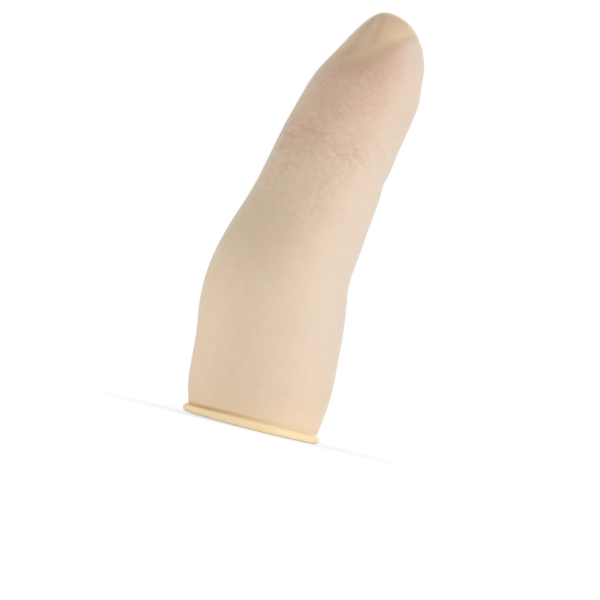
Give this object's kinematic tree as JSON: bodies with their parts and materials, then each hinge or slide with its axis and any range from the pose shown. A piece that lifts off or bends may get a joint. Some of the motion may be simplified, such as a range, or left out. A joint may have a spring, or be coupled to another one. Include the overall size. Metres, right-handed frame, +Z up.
{
  "type": "finger cot",
  "caption": "Thin latex finger cot with a rolled rim, in the shape it takes on a slightly bent finger; its film bends at the finger's joints and its rim rolls up the sleeve.",
  "frame": {"origin": "the middle of the mouth, in the plane of the rolled rim's middle, where the finger goes in", "axes": "+Z up the finger from the mouth towards the fingertip, +X towards the palm side of the finger, -X the side of the nail, Y sideways; the cot is the same on both sides of the XZ plane"},
  "size_m": [0.0252, 0.0222, 0.0658],
  "materials": {
    "film": "thin natural latex film, pale tan, satin, slightly cloudy",
    "bead": "natural latex rolled up many layers thick, warm cream, satin"
  },
  "bodies": {
    "base": {"base_sleeve": "film", "knuckle_fold": "film"},
    "rim": {"rolled_rim": "bead"},
    "middle": {"middle_sleeve": "film", "tip_joint_fold": "film"},
    "tip": {"tip_cap": "film"}
  },
  "joints": [
    {"name": "knuckle_bend", "type": "hinge", "parent": "base", "child": "middle", "pos_m": [-0.0008, 0, 0.02048], "axis": [0, 1, 0], "range_deg": [-12, 60], "stiffness_Nm_per_rad": 0.002, "deforming": ["knuckle_fold"]},
    {"name": "tip_bend", "type": "hinge", "parent": "middle", "child": "tip", "pos_m": [0.00271, 0, 0.0432], "axis": [0, 1, 0], "range_deg": [-8, 45], "stiffness_Nm_per_rad": 0.0004, "deforming": ["tip_joint_fold"]},
    {"name": "rim_roll", "type": "slide", "parent": "base", "child": "rim", "axis": [0, 0, 1], "range_m": [0, 0.01], "deforming": ["base_sleeve"]}
  ]
}
